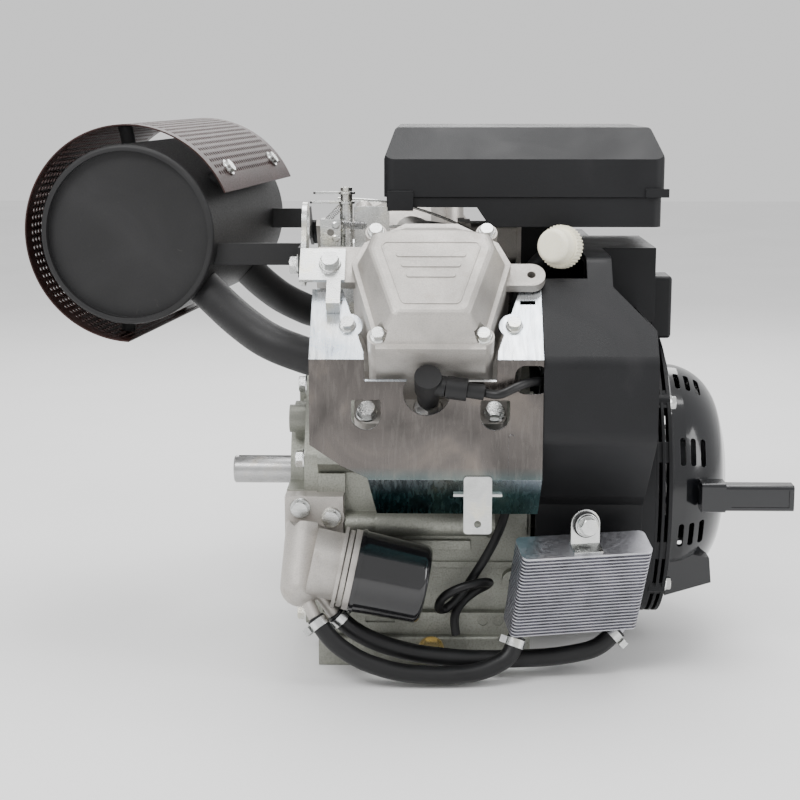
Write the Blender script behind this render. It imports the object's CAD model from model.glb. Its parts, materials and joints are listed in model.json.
"""Looks of the small V-twin engine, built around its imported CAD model."""

import json
import math

import bmesh
import bpy
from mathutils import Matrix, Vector


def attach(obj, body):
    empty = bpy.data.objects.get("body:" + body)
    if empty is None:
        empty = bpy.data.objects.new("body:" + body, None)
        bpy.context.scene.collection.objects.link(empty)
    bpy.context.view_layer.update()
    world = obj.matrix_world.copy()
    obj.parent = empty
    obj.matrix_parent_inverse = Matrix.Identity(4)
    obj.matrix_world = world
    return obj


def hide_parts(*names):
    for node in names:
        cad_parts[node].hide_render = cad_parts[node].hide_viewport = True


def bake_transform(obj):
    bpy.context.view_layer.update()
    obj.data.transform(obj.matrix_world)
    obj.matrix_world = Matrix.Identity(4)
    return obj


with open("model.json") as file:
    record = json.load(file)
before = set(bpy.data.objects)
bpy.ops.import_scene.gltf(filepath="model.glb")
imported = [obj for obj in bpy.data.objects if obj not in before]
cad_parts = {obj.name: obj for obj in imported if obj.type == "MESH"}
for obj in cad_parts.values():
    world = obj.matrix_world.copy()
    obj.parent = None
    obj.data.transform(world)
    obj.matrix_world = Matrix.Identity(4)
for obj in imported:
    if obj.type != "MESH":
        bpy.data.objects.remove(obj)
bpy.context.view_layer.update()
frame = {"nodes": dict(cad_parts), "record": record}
scene = bpy.context.scene

# ------------------------------------------------------------------ camera and stage
camera_data = bpy.data.cameras.new("camera")
camera_data.lens = 75.0
camera_data.sensor_width = 36.0
camera_data.clip_end = 50.0
camera = bpy.data.objects.new("camera", camera_data)
camera.location = (0.0129, -1.4746, 0.4824)
yaw, pitch = math.radians(1.2), math.radians(10.5)
look = Vector((-math.sin(yaw) * math.cos(pitch), math.cos(yaw) * math.cos(pitch), -math.sin(pitch)))
camera.rotation_euler = look.to_track_quat("-Z", "Y").to_euler()
scene.collection.objects.link(camera)
scene.camera = camera


def area_light(name, place, target, size, power, colour=(1, 1, 1)):
    """A soft rectangular studio light."""
    data = bpy.data.lights.new(name, "AREA")
    data.shape = "RECTANGLE"
    data.size, data.size_y = size
    data.energy = power
    data.color = colour
    light = bpy.data.objects.new(name, data)
    light.location = place
    light.rotation_euler = (Vector(target) - Vector(place)).to_track_quat("-Z", "Y").to_euler()
    scene.collection.objects.link(light)


area_light("key", (-0.9, -1.3, 1.7), (0, 0, 0.2), (0.9, 0.7), 30)
area_light("fill", (1.5, -0.8, 0.9), (0, 0, 0.2), (0.5, 1.0), 10)
area_light("top", (0.1, 0.1, 1.9), (0, 0, 0.2), (1.2, 1.0), 24)
area_light("back", (0.0, 1.6, 1.2), (0, 0, 0.2), (1.4, 0.8), 14)

world = bpy.data.worlds.new("studio")
world.use_nodes = True
world.node_tree.nodes["Background"].inputs["Color"].default_value = (1.0, 1.0, 1.0, 1)
world.node_tree.nodes["Background"].inputs["Strength"].default_value = 0.95
scene.world = world


# ------------------------------------------------------------------ materials
class Paint:
    """A procedural material: a Principled shader and the nodes that feed it."""

    def __init__(self, name, rough, metal, coat=0.0, specular=0.5):
        self.material = bpy.data.materials.new(name)
        self.material.use_nodes = True
        self.tree = self.material.node_tree
        self.shader = self.tree.nodes["Principled BSDF"]
        self.shader.inputs["Roughness"].default_value = rough
        self.shader.inputs["Metallic"].default_value = metal
        self.shader.inputs["Coat Weight"].default_value = coat
        self.shader.inputs["Coat Roughness"].default_value = 0.08
        self.shader.inputs["Specular IOR Level"].default_value = specular
        self.spot = self.tree.nodes.new("ShaderNodeTexCoord").outputs["Object"]
        self.normal = None

    def node(self, kind, **values):
        """Add a node, with its properties and inputs set by name."""
        made = self.tree.nodes.new(kind)
        for key, value in values.items():
            if hasattr(made, key):
                setattr(made, key, value)
            else:
                made.inputs[key.replace("_", " ").title()].default_value = value
        return made

    def join(self, source, target):
        """Link an output to an input."""
        self.tree.links.new(source, target)

    def noise(self, scale, detail=3.0, stretch=(1, 1, 1), distortion=0.0):
        """Noise over the object's own coordinates."""
        mapping = self.node("ShaderNodeMapping")
        mapping.inputs["Scale"].default_value = stretch
        self.join(self.spot, mapping.inputs["Vector"])
        made = self.node("ShaderNodeTexNoise")
        made.inputs["Scale"].default_value = scale
        made.inputs["Detail"].default_value = detail
        made.inputs["Distortion"].default_value = distortion
        self.join(mapping.outputs[0], made.inputs["Vector"])
        return made.outputs["Fac"]

    def ramp(self, source, stops):
        """A colour ramp over a value."""
        made = self.node("ShaderNodeValToRGB")
        elements = made.color_ramp.elements
        while len(elements) < len(stops):
            elements.new(0.5)
        for element, (place, colour) in zip(elements, stops):
            element.position = place
            element.color = (*colour, 1)
        self.join(source, made.inputs["Fac"])
        return made.outputs["Color"]

    def spread(self, source, low, high, start=0.3, end=0.7):
        """A value mapped from one range to another."""
        made = self.node("ShaderNodeMapRange")
        for key, value in (("From Min", start), ("From Max", end), ("To Min", low), ("To Max", high)):
            made.inputs[key].default_value = value
        self.join(source, made.inputs["Value"])
        return made.outputs["Result"]

    def mix(self, share, one, two):
        """Two colours mixed by a share."""
        made = self.node("ShaderNodeMix", data_type="RGBA")
        self.join(share, made.inputs["Factor"])
        for socket, value in ((made.inputs[6], one), (made.inputs[7], two)):
            if isinstance(value, tuple):
                socket.default_value = (*value, 1)
            else:
                self.join(value, socket)
        return made.outputs[2]

    def colour(self, source):
        """Feed the base colour."""
        self.join(source, self.shader.inputs["Base Color"])

    def rough(self, source):
        """Feed the roughness."""
        self.join(source, self.shader.inputs["Roughness"])

    def bump(self, source, strength, depth):
        """Stack a bump onto the surface."""
        made = self.node("ShaderNodeBump")
        made.inputs["Strength"].default_value = strength
        made.inputs["Distance"].default_value = depth
        self.join(source, made.inputs["Height"])
        if self.normal:
            self.join(self.normal, made.inputs["Normal"])
        self.normal = made.outputs["Normal"]
        self.join(self.normal, self.shader.inputs["Normal"])

    def soften(self, radius):
        """Round the CAD edges slightly in the shading."""
        made = self.node("ShaderNodeBevel", samples=4)
        made.inputs["Radius"].default_value = radius
        self.normal = made.outputs["Normal"]
        self.join(self.normal, self.shader.inputs["Normal"])


def scaled(colour, share):
    """A colour made lighter or darker."""
    return tuple(min(1.0, c * share) for c in colour)


def cast_metal(name, colour, rough, metal, grain, depth, stain=(0.5, 0.45, 0.38)):
    """Sand- or die-cast metal, with a grainy skin and faint stains."""
    paint = Paint(name, rough, metal)
    paint.soften(0.0006)
    cloud = paint.noise(22, 5, distortion=0.4)
    fine = paint.noise(grain, 4)
    base = paint.ramp(cloud, [(0.3, scaled(colour, 0.72)), (0.52, colour), (0.75, scaled(colour, 1.18))])
    mottled = paint.mix(paint.spread(fine, 0, 0.35, 0.45, 0.7), base, scaled(colour, 0.6))
    stains = paint.spread(paint.noise(60, 6), 0, 0.3, 0.62, 0.75)
    paint.colour(paint.mix(stains, mottled, tuple(c * s for c, s in zip(colour, stain))))
    paint.rough(paint.spread(fine, rough - 0.1, rough + 0.14))
    paint.bump(paint.noise(140, 3), 0.25, 0.0006)
    paint.bump(fine, 0.5, depth)
    return paint.material


def plated(name, colour, rough, tint=(0.78, 0.74, 0.6)):
    """Zinc plate: bright, with fine scratches and a yellowish bloom."""
    paint = Paint(name, rough, 1.0)
    paint.soften(0.0004)
    cloud = paint.noise(45, 4, distortion=0.6)
    scratch = paint.noise(260, 6, (1, 1, 14), 0.2)
    base = paint.ramp(cloud, [(0.3, scaled(colour, 0.8)), (0.55, colour), (0.78, tint)])
    paint.colour(paint.mix(paint.spread(scratch, 0, 0.25, 0.5, 0.75), base, scaled(colour, 0.55)))
    paint.rough(paint.spread(scratch, rough * 0.75, rough * 1.5))
    paint.bump(scratch, 0.12, 0.0003)
    return paint.material


def plastic(name, colour, rough, grain, depth, sheen_tint, coat=0.0):
    """Moulded plastic with a fine grain and a faint dusty bloom."""
    paint = Paint(name, rough, 0.0, coat, 0.28)
    paint.soften(0.0008)
    fine = paint.noise(grain, 3)
    dust = paint.noise(14, 6, distortion=0.8)
    base = paint.ramp(dust, [(0.3, colour), (0.6, scaled(colour, 1.25)), (0.8, sheen_tint)])
    paint.colour(paint.mix(paint.spread(fine, 0, 0.4, 0.45, 0.75), base, scaled(colour, 1.7)))
    paint.rough(paint.spread(dust, rough - 0.08, rough + 0.1))
    paint.bump(fine, 0.35, depth)
    return paint.material


def rubber(name, colour, rough):
    """Hose rubber: fine lengthwise marks, chalky patches."""
    paint = Paint(name, rough, 0.0, 0.0, 0.35)
    chalk = paint.noise(35, 6, distortion=0.5)
    fine = paint.noise(900, 3)
    base = paint.ramp(chalk, [(0.35, colour), (0.65, scaled(colour, 1.4)), (0.85, scaled(colour, 2.6))])
    paint.colour(paint.mix(paint.spread(fine, 0, 0.3), base, scaled(colour, 0.6)))
    paint.rough(paint.spread(chalk, rough - 0.1, rough + 0.15))
    paint.bump(fine, 0.3, 0.0003)
    return paint.material


def painted(name, colour, rough, worn, coat=0.0, grain=700):
    """Painted or enamelled metal with small speckles and scuffs."""
    paint = Paint(name, rough, 0.0, coat, 0.3)
    paint.soften(0.0005)
    fine = paint.noise(grain, 4)
    cloud = paint.noise(16, 6, distortion=0.6)
    base = paint.ramp(cloud, [(0.3, scaled(colour, 0.75)), (0.55, colour), (0.8, scaled(colour, 1.35))])
    paint.colour(paint.mix(paint.spread(paint.noise(120, 8, distortion=1.2), 0, 0.6, 0.68, 0.8), base, worn))
    paint.rough(paint.spread(fine, rough - 0.06, rough + 0.1))
    paint.bump(fine, 0.22, 0.0003)
    return paint.material


def shroud_sheet():
    """The shrouds' zinc sheet: bright slopes, a dark cloudy upright face and a teal lower return."""
    paint = Paint("zinc_sheet", 0.2, 1.0)
    paint.soften(0.0008)
    normal = paint.node("ShaderNodeNewGeometry").outputs["Normal"]
    split = paint.node("ShaderNodeSeparateXYZ")
    paint.join(normal, split.inputs[0])
    away = paint.node("ShaderNodeMath", operation="ABSOLUTE")
    paint.join(split.outputs["Y"], away.inputs[0])
    slope_ends, face_starts = 0.82, 0.93
    upright = paint.spread(away.outputs[0], 0, 1, slope_ends, face_starts)
    place = paint.node("ShaderNodeSeparateXYZ")
    paint.join(paint.spot, place.inputs[0])
    teal_below, teal_gone = 0.168, 0.195
    low = paint.spread(place.outputs["Z"], 1, 0, teal_below, teal_gone)
    cloud = paint.noise(18, 6, distortion=0.9)
    streak = paint.noise(60, 6, (6, 1, 1), 0.3)
    bright = paint.ramp(cloud, [
        (0.3, (0.55, 0.62, 0.70)),
        (0.55, (0.74, 0.78, 0.82)),
        (0.8, (0.80, 0.76, 0.66)),
    ])
    dark = paint.ramp(cloud, [
        (0.3, (0.085, 0.078, 0.074)),
        (0.55, (0.135, 0.122, 0.115)),
        (0.8, (0.22, 0.19, 0.165)),
    ])
    teal = paint.ramp(cloud, [
        (0.3, (0.02, 0.09, 0.10)),
        (0.6, (0.05, 0.16, 0.17)),
        (0.8, (0.25, 0.33, 0.30)),
    ])
    face = paint.mix(upright, bright, dark)
    face = paint.mix(low, face, teal)
    paint.colour(paint.mix(paint.spread(streak, 0, 0.10, 0.5, 0.7), face, (0.4, 0.38, 0.35)))
    paint.rough(paint.spread(streak, 0.16, 0.34))
    paint.bump(streak, 0.05, 0.0004)
    paint.bump(paint.noise(500, 3), 0.08, 0.0002)
    return paint.material


def filter_paper():
    """Pleated filter paper, with its fibres lying one way."""
    paint = Paint("paper", 0.85, 0.0)
    fibres = paint.noise(900, 5, (1, 6, 1))
    paint.colour(paint.ramp(fibres, [(0.3, (0.55, 0.42, 0.2)), (0.7, (0.75, 0.62, 0.36))]))
    paint.bump(fibres, 0.4, 0.0004)
    return paint.material


def braided_rope():
    """Black starter cord with a slanting braid."""
    paint = Paint("rope", 0.75, 0.0)
    wave = paint.node("ShaderNodeTexWave", bands_direction="DIAGONAL")
    wave.inputs["Scale"].default_value = 260
    wave.inputs["Distortion"].default_value = 1.5
    paint.join(paint.spot, wave.inputs["Vector"])
    paint.colour(paint.ramp(wave.outputs["Fac"], [(0.2, (0.02, 0.02, 0.02)), (0.8, (0.12, 0.11, 0.10))]))
    paint.bump(wave.outputs["Fac"], 0.6, 0.0008)
    return paint.material


plain_zinc = plated("plain_zinc", (0.62, 0.63, 0.62), 0.3)
materials = {
    "cast_case": cast_metal("cast_case", (0.33, 0.335, 0.295), 0.5, 0.75, 700, 0.0006),
    "cast_bright": cast_metal("cast_bright", (0.50, 0.475, 0.445), 0.48, 0.7, 1100, 0.0004),
    "cast_iron": cast_metal("cast_iron", (0.12, 0.12, 0.125), 0.55, 0.6, 600, 0.0006),
    "zinc_sheet": shroud_sheet(),
    "zinc_bolt": plated("zinc_bolt", (0.72, 0.73, 0.72), 0.24),
    "steel": plated("steel", (0.50, 0.50, 0.50), 0.3, (0.55, 0.50, 0.42)),
    "black_plastic": plastic("black_plastic", (0.0062, 0.0064, 0.0074), 0.46, 1500, 0.0004,
                             (0.016, 0.0155, 0.017)),
    "gloss_plastic": plastic("gloss_plastic", (0.006, 0.0065, 0.008), 0.16, 500, 0.0001,
                             (0.012, 0.012, 0.014), 0.6),
    "grey_plastic": plastic("grey_plastic", (0.07, 0.072, 0.078), 0.5, 1200, 0.0003,
                            (0.10, 0.10, 0.11)),
    "cream_plastic": plastic("cream_plastic", (0.78, 0.74, 0.58), 0.35, 800, 0.0002,
                             (0.86, 0.82, 0.68), 0.2),
    "rubber": rubber("rubber", (0.0065, 0.0065, 0.007), 0.42),
    "muffler_black": painted("muffler_black", (0.017, 0.0168, 0.0175), 0.5, (0.045, 0.042, 0.04)),
    "shield_brown": painted("shield_brown", (0.030, 0.011, 0.009), 0.45, (0.07, 0.035, 0.03)),
    "cooler_metal": plated("cooler_metal", (0.56, 0.56, 0.60), 0.38, (0.62, 0.60, 0.62)),
    "brass": plated("brass", (0.72, 0.58, 0.28), 0.3, (0.80, 0.68, 0.34)),
    "paper": filter_paper(),
    "filter_black": painted("filter_black", (0.008, 0.008, 0.009), 0.12, (0.02, 0.02, 0.022), 0.8, 300),
    "rope": braided_rope(),
}
for entry in frame["record"]["subparts"]:
    piece = frame["nodes"][entry["node"]]
    piece.data.materials.clear()
    piece.data.materials.append(materials[entry["material_slot"]])
frame["nodes"]["stay_bracket"].data.materials[0] = plain_zinc


def make_floor():
    """The pale floor, which the light rolls off into."""
    paint = Paint("floor", 0.7, 0.0)
    paint.colour(paint.ramp(paint.noise(3, 4), [(0.3, (0.86, 0.86, 0.86)), (0.7, (0.90, 0.90, 0.90))]))
    mesh = bpy.data.meshes.new("floor")
    reach = 6.0
    corners = [(-reach, -reach, 0), (reach, -reach, 0), (reach, reach, 0), (-reach, reach, 0)]
    mesh.from_pydata(corners, [], [(0, 1, 2, 3)])
    mesh.materials.append(paint.material)
    floor = bpy.data.objects.new("floor", mesh)
    floor.location.z = -0.0005
    scene.collection.objects.link(floor)


make_floor()


def add_piece(name, vertices, faces, slot, body="engine_block", smooth=True):
    """A mesh piece in a material slot's finish, riding on a body."""
    mesh = bpy.data.meshes.new(name)
    mesh.from_pydata([tuple(v) for v in vertices], [], faces)
    mesh.validate()
    mesh.materials.append(materials[slot])
    piece = bpy.data.objects.new(name, mesh)
    scene.collection.objects.link(piece)
    for face in mesh.polygons:
        face.use_smooth = smooth
    if body:
        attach(piece, body)
    return piece


def round_tube(name, points, radius, slot, body="engine_block", order=3):
    """A smooth tube along a NURBS line through its control points."""
    data = bpy.data.curves.new(name, "CURVE")
    data.dimensions = "3D"
    data.bevel_depth = radius
    data.bevel_resolution = 6
    data.resolution_u = 10
    data.use_fill_caps = True
    line = data.splines.new("NURBS")
    line.points.add(len(points) - 1)
    for spot, point in zip(line.points, points):
        spot.co = (*point, 1)
    line.order_u = order
    line.use_endpoint_u = True
    data.materials.append(materials[slot])
    tube = bpy.data.objects.new(name, data)
    scene.collection.objects.link(tube)
    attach(tube, body)
    return tube


# ------------------------------------------------------------------ breather hose
breather_points = [
    (0.078, -0.113, 0.158), (0.075, -0.119, 0.144), (0.068, -0.126, 0.122), (0.057, -0.130, 0.101),
    (0.047, -0.128, 0.084), (0.039, -0.125, 0.070), (0.031, -0.123, 0.059), (0.022, -0.124, 0.052),
    (0.016, -0.134, 0.056), (0.020, -0.142, 0.069), (0.033, -0.144, 0.077), (0.048, -0.142, 0.081),
    (0.060, -0.134, 0.080), (0.059, -0.122, 0.074), (0.049, -0.116, 0.067), (0.039, -0.116, 0.059),
    (0.032, -0.121, 0.051), (0.030, -0.125, 0.042), (0.032, -0.127, 0.031),
]
breather = round_tube("breather_tube", breather_points, 0.00375, "rubber")
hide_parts("breather_hose")

# ------------------------------------------------------------------ perforated heat shield
muffler_far = Vector((-0.207, 0.151, 0.367))
muffler_line = Vector((-0.132, -0.991, -0.005)).normalized()
across = Vector((0.991, -0.132, 0)).normalized()
upward = muffler_line.cross(across)
shield_radius = 0.089
shield_sheet = 0.0012
shield_from, shield_to = 0.006, 0.252


def around_muffler(radius, degrees, along):
    """A point about the muffler's axis; 0 degrees is towards the engine, 90 is up."""
    angle = math.radians(degrees)
    return muffler_far + muffler_line * along + across * (radius * math.cos(angle)) + upward * (
        radius * math.sin(angle))


def perforated_shield():
    """The heat shield as a punched sheet, with plain borders."""
    start, end = 23.0, 268.0
    hole = 0.0021
    plain_front, plain_edge = 0.012, 9.0
    columns, rows = 58, 32
    mesh = bmesh.new()
    seen = {}

    def vertex(degrees, along):
        key = (round(degrees, 4), round(along, 6))
        if key not in seen:
            seen[key] = mesh.verts.new(around_muffler(shield_radius + shield_sheet, degrees, along))
        return seen[key]

    step = (end - start - plain_edge) / columns
    length = shield_to - shield_from - 2 * plain_front
    pitch = length / rows
    arc = math.radians(1) * shield_radius
    for column in range(columns):
        for row in range(rows):
            low = start + plain_edge + column * step
            near = shield_from + plain_front + row * pitch
            middle = (low + step / 2, near + pitch / 2)
            corners = [(low, near), (low + step / 2, near), (low + step, near),
                       (low + step, near + pitch / 2), (low + step, near + pitch),
                       (low + step / 2, near + pitch), (low, near + pitch), (low, near + pitch / 2)]
            rim = []
            for index in range(8):
                angle = math.radians(225 + 45 * index)
                rim.append((middle[0] + hole * math.cos(angle) / arc,
                            middle[1] + hole * math.sin(angle)))
            ring = [vertex(*c) for c in corners]
            inner = [mesh.verts.new(around_muffler(shield_radius + shield_sheet, *r)) for r in rim]
            for index in range(8):
                after = (index + 1) % 8
                mesh.faces.new((ring[index], ring[after], inner[after], inner[index]))
    borders = []
    for column in range(columns * 2):
        low = start + plain_edge + column * step / 2
        for near, far in ((shield_from, shield_from + plain_front), (shield_to - plain_front, shield_to)):
            borders.append((low, low + step / 2, near, far))
    plain_steps = 4
    for index in range(plain_steps):
        low = start + index * plain_edge / plain_steps
        high = low + plain_edge / plain_steps
        borders.append((low, high, shield_from, shield_from + plain_front))
        borders.append((low, high, shield_to - plain_front, shield_to))
        for row in range(rows * 2):
            near = shield_from + plain_front + row * pitch / 2
            borders.append((low, high, near, near + pitch / 2))
    for low, high, near, far in borders:
        mesh.faces.new((vertex(low, near), vertex(high, near), vertex(high, far), vertex(low, far)))
    bmesh.ops.remove_doubles(mesh, verts=mesh.verts, dist=0.00001)
    bmesh.ops.recalc_face_normals(mesh, faces=mesh.faces)
    data = bpy.data.meshes.new("perforated_shield")
    mesh.to_mesh(data)
    mesh.free()
    data.materials.append(materials["shield_brown"])
    shield = bpy.data.objects.new("perforated_shield", data)
    scene.collection.objects.link(shield)
    thick = shield.modifiers.new("sheet", "SOLIDIFY")
    thick.thickness = shield_sheet
    outward = 0.0
    for face in data.polygons:
        reach = face.center - muffler_far
        outward += face.normal.dot(reach - muffler_line * reach.dot(muffler_line))
    thick.offset = -1 if outward > 0 else 1
    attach(shield, "engine_block")
    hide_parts("muffler_heat_shield")


perforated_shield()


# ------------------------------------------------------------------ starter rope
def ring(centre, side, up, radius, sides):
    """The places of one ring of vertices."""
    angles = [2 * math.pi * turn / sides for turn in range(sides)]
    return [centre + side * (radius * math.cos(a)) + up * (radius * math.sin(a)) for a in angles]


def ring_faces(rings, sides):
    """Faces that join the rings in a row, and close the two ends."""
    faces = []
    for base in range(0, (rings - 1) * sides, sides):
        for turn in range(sides):
            other = (turn + 1) % sides
            faces.append((base + turn, base + other, base + sides + other, base + sides + turn))
    faces.append(tuple(reversed(range(sides))))
    faces.append(tuple(range((rings - 1) * sides, rings * sides)))
    return faces


def ring_tube(name, points, radius, slot, body, sides=12):
    """A mesh tube with one ring of vertices at each point."""
    vertices = []
    for index, point in enumerate(points):
        before, after = points[max(index - 1, 0)], points[min(index + 1, len(points) - 1)]
        along = (Vector(after) - Vector(before)).normalized()
        side = along.cross(Vector((1, 0, 0))).normalized()
        vertices += ring(Vector(point), side, along.cross(side), radius, sides)
    return add_piece(name, vertices, ring_faces(len(points), sides), slot, body)


rope_x, rope_z = 0.245, 0.148
rope_radius = 0.00225
reel_side_y, ring_spacing, ring_count = -0.078, 0.0002, 140
rope_line = [(rope_x, reel_side_y - ring_spacing * step, rope_z) for step in range(ring_count)]
rope = ring_tube("rope_run", rope_line, rope_radius, "rope", None)
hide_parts("starter_rope")
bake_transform(rope)

# ------------------------------------------------------------------ small control parts
def helix(start, end, radius, turns, steps=14):
    """Points of a coil between two places."""
    start, end = Vector(start), Vector(end)
    along = (end - start).normalized()
    side = along.cross(Vector((0, 0, 1))).normalized()
    up = along.cross(side)
    count = turns * steps
    points = []
    for index in range(count + 1):
        angle = 2 * math.pi * index / steps
        points.append(start + (end - start) * (index / count) + side * (radius * math.cos(angle))
                      + up * (radius * math.sin(angle)))
    return points


rod_radius = 0.0011
round_tube("governor_spring", helix((-0.040, -0.040, 0.3685), (-0.066, -0.070, 0.372), 0.003, 18),
           0.00045, "steel")
round_tube("link_rod", [(-0.040, -0.040, 0.3675), (-0.010, -0.041, 0.3690), (0.020, -0.040, 0.366),
                        (0.040, -0.036, 0.360), (0.052, -0.027, 0.3565)], rod_radius, "zinc_bolt")
round_tube("choke_rod", [(-0.070, -0.050, 0.3925), (-0.040, -0.046, 0.3915), (-0.008, -0.040, 0.3855),
                         (0.030, -0.034, 0.372), (0.060, -0.030, 0.356)], rod_radius, "zinc_bolt")
round_tube("return_spring", helix((-0.079, -0.072, 0.3740), (-0.066, -0.058, 0.3870), 0.0024, 12),
           0.0004, "steel")


def turned(name, place, axis, profile, slot, sides=24):
    """A turned part: (radius, distance along the axis) pairs spun about the axis."""
    axis = Vector(axis).normalized()
    side = axis.orthogonal().normalized()
    up = axis.cross(side)
    vertices = []
    for radius, along in profile:
        vertices += ring(Vector(place) + axis * along, side, up, radius, sides)
    return add_piece(name, vertices, ring_faces(len(profile), sides), slot, smooth=False)


screw_profile = [(0.0035, 0), (0.0035, 0.0012), (0.003, 0.0022), (0.0022, 0.0026), (0.0008, 0.0026)]
plate_face_y, shelf_top_z, shelf_row_y = -0.0780, 0.3520, -0.036
for index, (x, z) in enumerate(((-0.070, 0.372), (-0.070, 0.361))):
    turned(f"control_screw_{index}", (x, plate_face_y, z), (0, -1, 0), screw_profile, "zinc_bolt")
for index, x in enumerate((-0.072, -0.046, -0.034)):
    turned(f"shelf_screw_{index}", (x, shelf_row_y, shelf_top_z), (0, 0, 1), screw_profile, "zinc_bolt")
